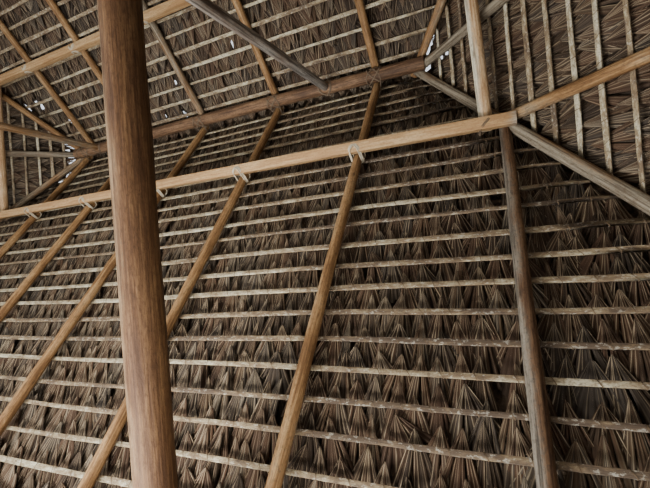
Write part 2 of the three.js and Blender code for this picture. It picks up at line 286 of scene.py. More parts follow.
def node(tree, kind, settings=None, **sockets):
    """Adds a node; a socket is named by its label with _ for a space, or by i and its number."""
    made = tree.nodes.new(kind)
    for key, value in (settings or {}).items():
        setattr(made, key, value)
    for key, value in sockets.items():
        numbered = key[0] == "i" and key[1:].isdigit()
        feed(tree, made.inputs[int(key[1:]) if numbered else key.replace("_", " ")], value)
    return made


def ramp(tree, factor, stops):
    """A colour ramp through (place, colour) stops."""
    made = node(tree, "ShaderNodeValToRGB", Fac=factor)
    band = made.color_ramp
    while len(band.elements) < len(stops):
        band.elements.new(0.5)
    for element, (place, color) in zip(band.elements, stops):
        element.position = place
        element.color = (*color, 1.0)
    return made.outputs["Color"]


def mix(tree, factor, a, b):
    """Mixes two colours."""
    return node(tree, "ShaderNodeMix", {"data_type": "RGBA"}, i0=factor, i6=a, i7=b).outputs[2]


def calc(tree, operation, a, b=0.0, clamp=False):
    """One step of arithmetic."""
    return node(tree, "ShaderNodeMath", {"operation": operation, "use_clamp": clamp}, i0=a, i1=b).outputs[0]


print("node helpers ready")

# %% Patterns and coats
BLACK = (0, 0, 0)
WHITE = (1, 1, 1)


def kept(tree, name):
    """A number that is kept on the corners of the piece."""
    return node(tree, "ShaderNodeAttribute", {"attribute_name": name}).outputs["Fac"]


def stretched(tree, scale):
    """The grain kept on the piece, stretched along its length."""
    own = node(tree, "ShaderNodeAttribute", {"attribute_name": "grain"})
    return node(tree, "ShaderNodeMapping", Vector=own.outputs["Vector"], Scale=scale).outputs["Vector"]


def noise(tree, vector, scale, detail=4.0, roughness=0.55):
    """A cloudy pattern."""
    made = node(tree, "ShaderNodeTexNoise", Vector=vector, Scale=scale, Detail=detail, Roughness=roughness)
    return made.outputs["Fac"]


def grain_noise(tree, stretch, scale, detail, roughness):
    """A cloudy pattern drawn out along the grain."""
    return noise(tree, stretched(tree, stretch), scale, detail, roughness)


def scaled_sum(tree, a, a_share, b, b_share):
    """The sum of two patterns, each with its share."""
    return calc(tree, "ADD", calc(tree, "MULTIPLY", a, a_share), calc(tree, "MULTIPLY", b, b_share))


def fade(tree, factor, off, on):
    """From black at one value of a pattern to white at another."""
    return ramp(tree, factor, sorted(((off, BLACK), (on, WHITE))))


def coat(tree, color, amount, strength, over):
    """Lays another colour over the first, as far as a pattern tells."""
    return mix(tree, calc(tree, "MULTIPLY", amount, strength), color, over)


def bump(tree, shader, height, strength, distance):
    """Small relief on the surface."""
    made = node(tree, "ShaderNodeBump", Height=height, Strength=strength, Distance=distance)
    tree.links.new(made.outputs["Normal"], shader.inputs["Normal"])


def set_surface(tree, shader, color, roughness, specular=0.5):
    """Gives the shader its colour, its roughness and its shine."""
    for label, value in (("Base Color", color), ("Roughness", roughness), ("Specular IOR Level", specular)):
        feed(tree, shader.inputs[label], value)


print("pattern helpers ready")

# %% [markdown]
# ## Bark
# The poles are young trunks with their smooth bark on. It is tan to orange brown, with long pale and
# dark streaks along the trunk, a few darker spots where twigs grew, and grey patches where it has
# weathered. A pattern on world coordinates would cut across the trunk, so each pole carries its
# own coordinates, called grain: round the trunk in two numbers, along it in the third.

# %% Bark finishes


def shade_of(color, share):
    """A colour made darker or paler."""
    return tuple(share * c for c in color)


def bark_finish(name, dark, middle, light, grey, weathering, contrast):
    """Bark in three shades, gone grey where it is worn, and on one side that is painted paler as if lit."""
    material, tree, shader = start_finish(name)
    long_streak = grain_noise(tree, (1.0, 1.0, 0.04), 60.0, 5.0, 0.7)
    fine_streak = grain_noise(tree, (1.0, 1.0, 0.09), 190.0, 3.0, 0.6)
    patch = grain_noise(tree, (1.0, 1.0, 0.30), 8.0, 5.0, 0.62)
    mottle = grain_noise(tree, (1.0, 1.0, 0.6), 75.0, 4.0, 0.7)
    tone = scaled_sum(tree, long_streak, 0.6, patch, 0.4)
    color = ramp(tree, tone, ((0.41, dark), (0.5, middle), (0.585, light)))
    color = coat(tree, color, fade(tree, fine_streak, 0.45, 0.62), 0.5, dark)
    wear_and_lit_side = calc(tree, "ADD", patch, calc(tree, "MULTIPLY", mottle, 0.6))
    # The tint brings in the pole's weathering, and also a painted lit side on some poles, made paler with the
    # weathered grey.
    wear_and_lit_side = calc(tree, "ADD", wear_and_lit_side, calc(tree, "MULTIPLY", kept(tree, "tint"), 0.7))
    wear_and_lit_side = calc(tree, "MULTIPLY", calc(tree, "SUBTRACT", wear_and_lit_side, 1.15), 3.5, True)
    greys = ((0.4, shade_of(grey, 0.35)), (0.52, grey), (0.62, shade_of(grey, 1.3)))
    lengthwise = ramp(tree, long_streak, greys)
    color = coat(tree, color, wear_and_lit_side, weathering, lengthwise)
    spots = node(tree, "ShaderNodeTexVoronoi", Vector=stretched(tree, (1.0, 1.0, 0.3)), Scale=13.0)
    color = coat(tree, color, fade(tree, spots.outputs["Distance"], 0.15, 0.05), 0.65, shade_of(dark, 0.4))
    color = coat(tree, color, fade(tree, mottle, 0.50, 0.64), 0.45, shade_of(dark, 0.6))
    color = mix(tree, contrast, middle, color)
    set_surface(tree, shader, color, calc(tree, "ADD", calc(tree, "MULTIPLY", mottle, 0.3), 0.45), 0.18)
    bump(tree, shader, scaled_sum(tree, long_streak, 0.6, mottle, 0.4), 0.7, 0.008)
    return material


# slot, name, then dark, middle, light and weathered shades, amount of wear, contrast
BARK_PLAN = (
    ("smooth_pole", "smooth_bark", (0.125, 0.062, 0.025), (0.285, 0.158, 0.067), (0.42, 0.265, 0.125),
     (0.215, 0.195, 0.148), 0.9, 0.95),
    ("weathered_pole", "grey_bark", (0.09, 0.062, 0.045), (0.22, 0.16, 0.115), (0.36, 0.29, 0.22),
     (0.30, 0.27, 0.23), 1.0, 1.0),
    ("beam_pole", "brown_bark", (0.046, 0.020, 0.009), (0.105, 0.051, 0.021), (0.185, 0.100, 0.043),
     (0.285, 0.205, 0.122), 0.8, 0.8),
    ("red_pole", "red_bark", (0.062, 0.033, 0.019), (0.155, 0.087, 0.046), (0.25, 0.148, 0.08),
     (0.185, 0.165, 0.13), 0.9, 1.0),
    ("pale_timber", "peeled_wood", (0.30, 0.17, 0.08), (0.52, 0.34, 0.18), (0.64, 0.48, 0.30),
     (0.62, 0.57, 0.43), 1.0, 1.0),
    ("sawn_timber", "sawn_wood", (0.29, 0.158, 0.07), (0.42, 0.26, 0.12), (0.53, 0.37, 0.20),
     (0.30, 0.27, 0.22), 0.9, 0.85),
)
BARK = {slot: bark_finish(*plan) for slot, *plan in BARK_PLAN}
print("bark finishes", list(BARK))

# %% [markdown]
# ## Round poles
# Every pole could be a plain cylinder, but a real one bows a little, swells and thins, and no two
# look alike. We measure the solid that each pole stands for, add a cylinder there, cut it into
# short lengths in edit mode, swell it with a displacement, and bow it sideways. The bow stays in
# the plane of the slope, so that the pole still touches what lies on it.

# %% Measuring a pole's solid
STEEP = 0.9


def corner_places(mesh):
    """The places of a mesh's corners, one row each."""
    places = np.empty(len(mesh.vertices) * 3)
    mesh.vertices.foreach_get("co", places)
    return places.reshape(-1, 3)


def measure(name, direction):
    """Start, end and radius of a pole's solid along a direction."""
    direction = np.array(direction, float)
    direction /= np.linalg.norm(direction)
    helper = UP if abs(direction[2]) < STEEP else np.array((1.0, 0.0, 0.0))
    side = np.cross(direction, helper)
    side /= np.linalg.norm(side)
    top = np.cross(side, direction)
    corners = corner_places(frame["nodes"][name].data)
    reach = [corners @ axis for axis in (direction, side, top)]
    low = [r.min() for r in reach]
    high = [r.max() for r in reach]
    centre = side * (low[1] + high[1]) / 2 + top * (low[2] + high[2]) / 2
    radius = (high[1] - low[1]) / 2
    return centre + direction * low[0], centre + direction * high[0], radius


print("ridge pole radius", round(float(measure("ridge_pole", (1, 0, 0))[2]), 3))

# %% Helpers for shaping


def store(mesh, name, kind, values):
    """Keeps one value a vertex on a mesh, for a finish to read."""
    layer = mesh.attributes.new(name, kind, "POINT")
    key = "vector" if kind == "FLOAT_VECTOR" else "value"
    layer.data.foreach_set(key, np.asarray(values, np.float32).ravel())


def select_only(piece):
    """Selects one piece and makes it the active one."""
    bpy.ops.object.select_all(action="DESELECT")
    piece.select_set(True)
    bpy.context.view_layer.objects.active = piece


def apply_place(piece):
    """Moves a piece's place into its mesh."""
    select_only(piece)
    bpy.ops.object.transform_apply(location=True, rotation=True, scale=True)


def finish_with(piece, kind, **settings):
    """Adds a modifier with its settings to the active piece, and applies it."""
    added = piece.modifiers.new(kind.lower(), kind)
    for key, value in settings.items():
        setattr(added, key, value)
    bpy.ops.object.modifier_apply(modifier=added.name)


def cut_into_lengths(piece, cuts):
    """Cuts the long edges of a fresh cylinder or box, which run along its own Z."""
    bpy.ops.object.mode_set(mode="EDIT")
    bpy.ops.mesh.select_all(action="DESELECT")
    bpy.ops.mesh.select_mode(type="EDGE")
    bpy.ops.object.mode_set(mode="OBJECT")
    places = [v.co.copy() for v in piece.data.vertices]
    for edge in piece.data.edges:
        low, high = (places[i] for i in edge.vertices)
        edge.select = abs(low.z - high.z) > 0.9 * piece.dimensions.z
    bpy.ops.object.mode_set(mode="EDIT")
    bpy.ops.mesh.subdivide(number_cuts=cuts)
    bpy.ops.object.mode_set(mode="OBJECT")


print("shaping helpers ready")

# %% Bowing a pole
SECOND_BOW = 0.3
SECOND_WAVES = 2.7
WAVE_SHIFT = 400
END_FACE = 0.495
END_WEAR = 0.9
GRAIN_STARTS = 40


def bow_and_grain(piece, start, end, bow, taper, tint, painted_lit_side=0.0):
    """Bows a pole sideways, tapers it, and stores its grain and its tint, whose one side is painted paler as
    if lit.
    """
    axis = end - start
    length = np.linalg.norm(axis)
    axis /= length
    spots = corner_places(piece.data)
    along = (spots - start) @ axis
    middle = start + along[:, None] * axis
    share = along / length
    side = np.cross(axis, UP)
    side = side / np.linalg.norm(side) if np.linalg.norm(side) > 0.2 else np.array((1.0, 0.0, 0.0))
    top = np.cross(side, axis)
    thin = share if taper > 0 else 1.0 - share
    rest = (spots - middle) * (1.0 - abs(taper) * thin[:, None])
    wave = np.sin(SECOND_WAVES * np.pi * share + bow * WAVE_SHIFT)
    bend = bow * np.sin(np.pi * share) + SECOND_BOW * bow * wave
    grain = np.stack((rest @ side, rest @ top, along + random.uniform(0, GRAIN_STARTS)), axis=1)
    piece.data.vertices.foreach_set("co", (middle + rest + bend[:, None] * side).ravel())
    store(piece.data, "grain", "FLOAT_VECTOR", grain)
    reach = grain[:, 0] / np.abs(grain[:, 0]).max()
    sawn = piece.name.startswith("purlin")
    worn_end = np.where(np.abs(share - 0.5) > END_FACE, END_WEAR, 0.0) if sawn else 0.0
    # The tint holds the weathering, the worn ends of the purlins, and painted light: the side of the pole
    # towards the low light at the left is made paler.
    store(piece.data, "tint", "FLOAT", tint - painted_lit_side * reach + worn_end)


print("second bow", SECOND_BOW, "of the first")

# %% Making one pole
POLE_SIDES = 16
POLE_CREASE = math.radians(50)
RING_SPACING = 0.16
FEWEST_RINGS = 4
bark_swell = bpy.data.textures.new("bark_swell", "CLOUDS")
bark_swell.noise_scale = 0.35
poles = {}
WEATHERING = {
    "hip_rafter_rear_right": 0.95, "hip_rafter_front_right": 0.55, "hip_rafter_rear_left": 0.7,
    "hip_rafter_front_left": 0.3, "end_rafter_right": 1.0, "end_rafter_left": 1.0,
    "rear_jack_right_1": 0.56, "rear_rafter_1": 0.35, "rear_rafter_2": 0.15, "rear_rafter_3": 0.3,
    "rear_rafter_5": 0.1, "front_rafter_1": 0.2, "front_rafter_2": 0.3, "front_rafter_3": 0.8,
    "tie_beam_right": 0.5, "collar_tie_right": 0.5, "ridge_pole": 0.2, "king_post_right": 0.8,
    "king_post_left": 0.7,
}
# Painted light: on these poles the side towards the low light at the left is made paler with the weathered
# grey.
PAINTED_LIT_SIDE = {
    "tie_beam_right": 0.55, "rear_jack_right_1": 0.5, "hip_rafter_rear_right": 0.25,
    "collar_tie_right": 0.6,
}
RED_BARK = {"rear_jack_right_1", "ridge_pole"}


def make_pole(name, direction, slot, bow=0.008, taper=0.06, swell=0.006):
    """A pole in the place of the solid of the same name."""
    start, end, radius = measure(name, direction)
    tint = WEATHERING.get(name, random.uniform(0.1, 0.6))
    axis = Vector(end - start)
    bpy.ops.object.select_all(action="DESELECT")
    bpy.ops.mesh.primitive_cylinder_add(
        vertices=POLE_SIDES, radius=radius, depth=axis.length, end_fill_type="TRIFAN",
        location=(start + end) / 2, rotation=axis.to_track_quat("Z", "Y").to_euler(),
    )
    piece = bpy.context.object
    piece.name = name + "_bark"
    cut_into_lengths(piece, max(FEWEST_RINGS, round(axis.length / RING_SPACING)))
    apply_place(piece)
    finish_with(piece, "DISPLACE", texture=bark_swell, texture_coords="GLOBAL", strength=swell, mid_level=0.6)
    bend = bow * random.choice((-1, 1)) * random.uniform(0.4, 1.0)
    bow_and_grain(piece, start, end, bend, taper, tint, PAINTED_LIT_SIDE.get(name, 0.0))
    bpy.ops.object.shade_smooth_by_angle(angle=POLE_CREASE)
    piece.data.materials.append(BARK["red_pole" if name in RED_BARK else slot])
    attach(piece, "root")
    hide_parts(name)
    poles[name] = (start, end, radius)


print("pole maker ready")

# %% [markdown]
# ## The poles of the frame
# Now the poles are listed by the way they run: along the ridge, across the hut, upright, and down
# each slope. The names are those of the solids, so a loop over the frame's nodes finds them all.

# %% Poles along, across and upright
ALONG = (1, 0, 0)
ACROSS = (0, 1, 0)
UPRIGHT = (0, 0, 1)
KING_LEAN = Vector((0.0, -0.36, 5.31))
COLLAR_SKEW = {"collar_tie_right": 0.05, "collar_tie_left": 0.0}
node_names = sorted(frame["nodes"])

make_pole("ridge_pole", ALONG, "smooth_pole", bow=0.01, taper=0.04)
for name in node_names:
    if name.startswith("long_plate"):
        make_pole(name, ALONG, "beam_pole")
    elif name.startswith(("tie_beam", "end_plate")):
        make_pole(name, ACROSS, "beam_pole", bow=0.01, taper=0.02, swell=0.01)
    elif name.startswith(("corner_post", "side_post", "end_post")):
        make_pole(name, UPRIGHT, "weathered_pole", taper=0.05, swell=0.012)
make_pole("king_post_right", KING_LEAN, "weathered_pole", swell=0.008)
make_pole("king_post_left", UPRIGHT, "smooth_pole", swell=0.008)
for name, skew in COLLAR_SKEW.items():
    make_pole(name, (skew, 1.83, 0), "pale_timber", bow=0.004)
print("poles so far", len(poles))

# %% [markdown]
# ## Poles down the slopes
# Rafters and jacks run straight down their slope. A hip runs down where two slopes meet, so its
# direction takes one step outwards for the end and a longer one sideways. It is thickest at its
# lower end, and so its taper is turned round.

# %% Rafters, jacks and hips
# start of the name, slope, bow
SLOPE_POLES = (
    (("rear_rafter", "rear_jack"), "rear", 0.008),
    (("front_rafter", "front_jack"), "front", 0.009),
    (("end_rafter_right", "end_jack_right"), "right_end", 0.012),
    (("end_rafter_left", "end_jack_left"), "left_end", 0.012),
)
HIP_DOWN = {
    f"hip_rafter_{side}_{end}": (x, y * HIP_SPREAD, -math.tan(END_PITCH))
    for side, y in (("rear", 1), ("front", -1))
    for end, x in (("right", 1), ("left", -1))
}

for name in node_names:
    for starts, slope_name, bow in SLOPE_POLES:
        if name.startswith(starts):
            make_pole(name, SLOPES[slope_name].down, "smooth_pole", bow=bow)
    if name in HIP_DOWN:
        make_pole(name, HIP_DOWN[name], "smooth_pole", bow=0.01, taper=-0.15)
print("poles in all", len(poles))

# %% [markdown]
# ## Purlins
# The purlins under the rafters are squared with a saw, with flat faces and slightly rounded edges.
# A box with bevelled edges is the right start; a very small swell takes away the machine look.

# %% Purlins
PURLIN_CUTS = 40
PURLIN_EDGE = 0.006
PURLIN_SWELL = 0.004
PURLIN_BOW = 0.004
PURLIN_CREASE = math.radians(40)


def make_purlin(name):
    """A sawn timber in the place of the solid of the same name."""
    low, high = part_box(name)
    middle = (low + high) / 2
    size = high - low
    bpy.ops.object.select_all(action="DESELECT")
    bpy.ops.mesh.primitive_cube_add(size=1, location=middle, rotation=(0, math.pi / 2, 0))
    piece = bpy.context.object
    piece.name = name + "_timber"
    piece.scale = (size.z, size.y, size.x)
    bpy.context.view_layer.update()
    bpy.ops.object.transform_apply(location=False, rotation=False, scale=True)
    cut_into_lengths(piece, PURLIN_CUTS)
    apply_place(piece)
    finish_with(piece, "BEVEL", width=PURLIN_EDGE, segments=2, limit_method="ANGLE")
    finish_with(
        piece, "DISPLACE", texture=bark_swell, texture_coords="GLOBAL", strength=PURLIN_SWELL, mid_level=0.9,
    )
    start = np.array((low.x, middle.y, middle.z))
    end = np.array((high.x, middle.y, middle.z))
    bow_and_grain(piece, start, end, PURLIN_BOW, 0.0, random.uniform(0.1, 0.3))
    bpy.ops.object.shade_smooth_by_angle(angle=PURLIN_CREASE)
    piece.data.materials.append(BARK["sawn_timber"])
    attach(piece, "root")
    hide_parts(name)
    poles[name] = (start, end, size.z / 2)


for name in ("purlin_rear", "purlin_front"):
    make_purlin(name)
print("purlins made")

# %% [markdown]
# ## Copies laid in one mesh
# Laths, cord turns and leaves come by the hundred. Each is modelled once, and its copies are laid
# into one mesh by array arithmetic: every copy has its own place, turn and size, and a random
# number, kept as an attribute, from which the finish gives it a colour of its own.

# %% Laying copies


def mesh_arrays(model):
    """The corners, faces and UVs of a modelled piece, as arrays, once the piece itself is removed."""
    mesh = model.data
    corners = corner_places(mesh)
    loops = np.array([list(p.vertices) for p in mesh.polygons])
    uvs = np.empty(len(mesh.loops) * 2)
    mesh.uv_layers.active.data.foreach_get("uv", uvs)
    bpy.data.objects.remove(model)
    return corners, loops, uvs.reshape(-1, 2)


def lay(name, corner_sets, loops, uvs, finish, slot, tints=None):
    """Builds one piece from many placed copies of the same faces."""
    copies, count = corner_sets.shape[:2]
    sides = loops.shape[1]
    if tints is None:
        tints = random.uniform(0, 1, copies)
    mesh = bpy.data.meshes.new(name)
    mesh.vertices.add(copies * count)
    mesh.vertices.foreach_set("co", corner_sets.astype(np.float32).ravel())
    every = (loops[None] + (np.arange(copies) * count)[:, None, None]).reshape(-1, sides)
    mesh.loops.add(every.size)
    mesh.loops.foreach_set("vertex_index", every.ravel().astype(np.int32))
    mesh.polygons.add(len(every))
    mesh.polygons.foreach_set("loop_start", (np.arange(len(every)) * sides).astype(np.int32))
    mesh.update(calc_edges=True)
    layer = mesh.uv_layers.new(name="own")
    layer.data.foreach_set("uv", np.tile(uvs, (copies, 1)).astype(np.float32).ravel())
    store(mesh, "tint", "FLOAT", np.repeat(tints, count))
    piece = bpy.data.objects.new(name, mesh)
    bpy.context.scene.collection.objects.link(piece)
    mesh.materials.append(finish)
    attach(piece, "root")
    print(name, copies, "copies", len(every) * (sides - 2), "triangles")
    return piece


print("ready to lay copies")

# %% [markdown]
# ## Laths
# The laths are split wood, about as wide as two fingers, tied flat on the rafters a hand's breadth
# apart. One lath is a box cut into short lengths; each copy is stretched to its row, given its own
# width, and made to wander a little up and down the slope as a split stick does.

# %% Lath model
LATH_WIDTH = 0.035
LATH_DEPTH = 0.0145
LATH_CUTS = 30
LATH_EDGE = 0.12


def model_lath():
    """A lath of length, width and depth 1, with its length along X."""
    bpy.ops.object.select_all(action="DESELECT")
    bpy.ops.mesh.primitive_cube_add(size=1)
    lath = bpy.context.object
    cut_into_lengths(lath, LATH_CUTS)
    finish_with(lath, "BEVEL", width=LATH_EDGE, segments=1, limit_method="ANGLE")
    bpy.ops.object.mode_set(mode="EDIT")
    bpy.ops.mesh.select_all(action="SELECT")
    bpy.ops.mesh.quads_convert_to_tris()
    bpy.ops.object.mode_set(mode="OBJECT")
    corners, loops, uvs = mesh_arrays(lath)
    return corners[:, [2, 1, 0]], loops[:, ::-1], uvs


LATH_CORNERS, LATH_LOOPS, LATH_UVS = model_lath()
print("lath model", len(LATH_CORNERS), "corners")

# %% Lath finish
# streaks, lichen, stains and specks: stretch, scale, detail, roughness, off, on, strength, colour
LATH_MARKS = (
    (0.05, 170.0, 4.0, 0.65, 0.42, 0.66, 0.5, (0.17, 0.12, 0.075)),
    (0.6, 55.0, 4.0, 0.7, 0.55, 0.61, 0.5, (0.66, 0.62, 0.50)),
    (0.6, 38.0, 5.0, 0.75, 0.55, 0.63, 0.75, (0.10, 0.07, 0.045)),
    (0.8, 110.0, 3.0, 0.6, 0.52, 0.64, 0.6, (0.12, 0.08, 0.044)),
)


def lath_finish():
    """Pale split wood, with painted shade growing towards the right end of the rear slope, and four kinds of
    marks on it.
    """
    material, tree, shader = start_finish("split_lath")
    patch = grain_noise(tree, (0.35, 1.0, 1.0), 24.0, 6.0, 0.7)
    long_patch = grain_noise(tree, (0.3, 1.0, 1.0), 3.5, 3.0, 0.6)
    tone = scaled_sum(tree, patch, 0.8, long_patch, 0.45)
    paler = calc(tree, "MULTIPLY", calc(tree, "SUBTRACT", kept(tree, "tint"), 0.55), 0.14)
    tone = calc(tree, "ADD", tone, paler)
    # Painted shade: the rear laths grow darker towards the right end, where less light reaches them.
    tone = calc(tree, "SUBTRACT", tone, calc(tree, "MULTIPLY", kept(tree, "age"), 0.085))
    color = ramp(tree, tone, (
        (0.47, (0.07, 0.045, 0.027)), (0.56, (0.20, 0.135, 0.07)),
        (0.64, (0.34, 0.27, 0.155)), (0.75, (0.60, 0.55, 0.39)),
    ))
    marks = []
    for stretch, scale, detail, roughness, off, on, strength, shade in LATH_MARKS:
        marks.append(grain_noise(tree, (stretch, 1.0, 1.0), scale, detail, roughness))
        color = coat(tree, color, fade(tree, marks[-1], off, on), strength, shade)
    set_surface(tree, shader, color, 0.75)
    bump(tree, shader, marks[0], 0.7, 0.003)
    return material


LATH_FINISH = lath_finish()
print("marks on a lath", len(LATH_MARKS))

# %% [markdown]
# ## A lath on every row
# Each row gets one lath from hip to hip. Its middle line wanders in slow waves, its width changes
# along it, and it keeps its own grain. The cord turns and the leaves have to follow the same line,
# so what was drawn for each lath is kept in a list.

# %% Laying the laths
HIP_MARGIN = 0.03
SHORTEST_HALF = 0.15
WAVE_STARTS = 6.28
WANDER = 0.003
LATH_GRAIN_STARTS = 20
# Where the painted shade on the rear laths starts, and over how far it grows to full strength.
PAINTED_FALLOFF_FROM, PAINTED_FALLOFF_OVER = 0.6, 2.0


def wander(a, phase):
    """How far a split stick strays from its line at a place along it."""
    waves = np.sin(1.3 * a + phase) + 0.6 * np.sin(3.1 * a + 2.0 * phase) + 0.35 * np.sin(7.3 * a + phase)
    return WANDER * waves


lath_lines = {}
for slope in SLOPES.values():
    sets = []
    lines = []
    for s in slope.laths:
        half = slope.half(s) - HIP_MARGIN
        if half < SHORTEST_HALF:
            continue
        phase = random.uniform(0, WAVE_STARTS)
        width = LATH_WIDTH * random.uniform(0.68, 1.04)
        depth = LATH_DEPTH * random.uniform(0.75, 1.0)
        drift = random.uniform(-0.006, 0.006)
        a = LATH_CORNERS[:, 0] * 2 * half
        swing = row_drift(slope, a) + wander(a, phase) + drift * a / half
        edge = 1.0 + 0.10 * np.sin(5.0 * a + 3.0 * phase)
        down = s + swing + LATH_CORNERS[:, 1] * width * edge
        sets.append(slope.place(a, down, (LATH_CORNERS[:, 2] + 0.5) * depth))
        lines.append((s, half, phase, drift, width, depth))
    lath_lines[slope.name] = lines
    sets = np.array(sets)
    piece = lay("laths_" + slope.name, sets, LATH_LOOPS, LATH_UVS, LATH_FINISH, "pale_timber")
    own = sets - slope.place(0.0, 0.0, 0.0)
    starts = random.uniform(0, LATH_GRAIN_STARTS, (len(sets), 1, 1)) * np.array((1.0, 0.0, 0.0))
    store(piece.data, "grain", "FLOAT_VECTOR", own @ slope.axes + starts)
    place = own @ slope.axes[:, 0]
    # Painted shade: on the rear slope the laths darken towards the right end, as the light from the left
    # falls off.
    age = np.clip((place - PAINTED_FALLOFF_FROM) / PAINTED_FALLOFF_OVER, 0, 1) if slope.name == "rear" else place * 0.0
    store(piece.data, "age", "FLOAT", age)

# %% [markdown]
# ## Cord turns on the laths
# The leaves are sewn to the laths with a thin cord that crosses each lath every hand's breadth. A
# turn of it is a small band round the lath, set at a slant. Four flat sides are enough at this
# size, because there are thousands.

# %% The turn and its cord
TURN_SPACING = 0.16
TURN_WIDTH = 0.005
TURN_LIFT = 0.0018


def cord_finish(name, color, dark):
    """Twisted fibre between two shades."""
    material, tree, shader = start_finish(name)
    spot = node(tree, "ShaderNodeTexCoord").outputs["Object"]
    fibre = noise(tree, spot, 260.0, 3.0, 0.6)
    set_surface(tree, shader, mix(tree, fibre, dark, color), 0.9)
    bump(tree, shader, fibre, 0.5, 0.001)
    return material


def model_turn():
    """An open band with four sides, of size 1, round the X axis."""
    bpy.ops.object.select_all(action="DESELECT")
    bpy.ops.mesh.primitive_cylinder_add(
        vertices=4, radius=math.sqrt(0.5), depth=1, end_fill_type="NOTHING", rotation=(0, 0, math.pi / 4),
    )
    band = bpy.context.object
    apply_place(band)
    corners, loops, uvs = mesh_arrays(band)
    return corners[:, [2, 0, 1]], loops, uvs


TURN_CORNERS, TURN_LOOPS, TURN_UVS = model_turn()
CORD_FINISH = cord_finish("pale_cord", (0.60, 0.53, 0.40), (0.32, 0.26, 0.17))
TURN_FINISH = cord_finish("leaf_cord", (0.21, 0.14, 0.075), (0.06, 0.038, 0.022))
print("turn model", len(TURN_CORNERS), "corners")

# %% Winding the turns
for slope in SLOPES.values():
    sets = []
    for s, half, phase, drift, width, depth in lath_lines[slope.name]:
        stops = np.arange(-half + random.uniform(0.02, 0.12), half, TURN_SPACING)
        for stop in stops + random.normal(0, 0.012, len(stops)):
            if abs(stop) > half - 0.01:
                continue
            slant = random.normal(0.45, 0.18)
            line = s + row_drift(slope, stop) + wander(stop, phase) + drift * stop / half
            across = TURN_CORNERS[:, 1] * (width * 1.08 + 2 * TURN_LIFT)
            a = stop + TURN_CORNERS[:, 0] * TURN_WIDTH + across * slant
            h = depth / 2 + TURN_CORNERS[:, 2] * (depth + 2 * TURN_LIFT)
            sets.append(slope.place(a, line + across, h))
    lay("lath_cord_" + slope.name, np.array(sets), TURN_LOOPS, TURN_UVS, TURN_FINISH, "thatch")

# %% [markdown]
# ## A folded palm leaf
# Each leaf is a fan of stiff blades that spread from one point, every blade folded along its middle.
# It is hung over its lath with the point a hand's breadth above, so that from below a row of small
# peaks shows over each lath. We model one blade from a small grid: the middle line is raised into
# the fold, both ends are drawn in, and the blade is then copied round the point of the fan.

# %% One blade
SAME_LINE = 0.01
ON_MIDDLE = 1e-4


def select_where(piece, test):
    """Selects the corners whose place passes a test, and stays in edit mode."""
    bpy.ops.object.mode_set(mode="EDIT")
    bpy.ops.mesh.select_mode(type="VERT")
    bpy.ops.mesh.select_all(action="DESELECT")
    bpy.ops.object.mode_set(mode="OBJECT")
    for corner in piece.data.vertices:
        corner.select = test(corner.co)
    bpy.ops.object.mode_set(mode="EDIT")


def model_blade(length, widths, fold, sway):
    """One folded blade along Y: its widths and fold at the point, half way and at the tip."""
    bpy.ops.mesh.primitive_grid_add(x_subdivisions=2, y_subdivisions=2, size=1, location=(0, 0, 0))
    blade = bpy.context.object
    bpy.ops.object.mode_set(mode="EDIT")
    bpy.ops.mesh.select_all(action="SELECT")
    bpy.ops.transform.resize(value=(1, length, 1), center_override=(0, 0, 0))
    bpy.ops.transform.translate(value=(0, length / 2, 0))
    for y, width, shift in zip((0.0, length / 2, length), widths, (0.0, sway, 0.0)):
        select_where(blade, lambda place: abs(place.y - y) < SAME_LINE)
        bpy.ops.transform.resize(value=(width, 1, 1), center_override=(0, y, 0))
        bpy.ops.transform.translate(value=(shift, 0, 0))
    select_where(blade, lambda place: abs(place.x) < ON_MIDDLE or abs(place.x - sway) < ON_MIDDLE)
    bpy.ops.transform.translate(value=(0, 0, fold))
    bpy.ops.object.mode_set(mode="OBJECT")
    return blade


print("blade maker ready")

# %% Fans of blades
INNER_BLADES = 10
# spread in degrees, length, widths of a blade at its point, half way and at its tip, fold, cup
INNER_PLAN = (
    (40, 0.40, (0.004, 0.0175, 0.026), -0.007, 3.0),
    (30, 0.43, (0.004, 0.0145, 0.020), -0.006, 4.0),
    (52, 0.38, (0.004, 0.0205, 0.032), -0.008, 2.5),
    (35, 0.45, (0.004, 0.0170, 0.024), -0.007, 2.0),
    (25, 0.42, (0.004, 0.0125, 0.017), -0.006, 4.0),
    (46, 0.36, (0.004, 0.0180, 0.028), -0.007, 3.0),
)
OUTER_BLADES = 9
OUTER_LENGTH = 0.62
OUTER_PLAN = (36, OUTER_LENGTH, (0.014, 0.028, 0.009), 0.006, 0.3)


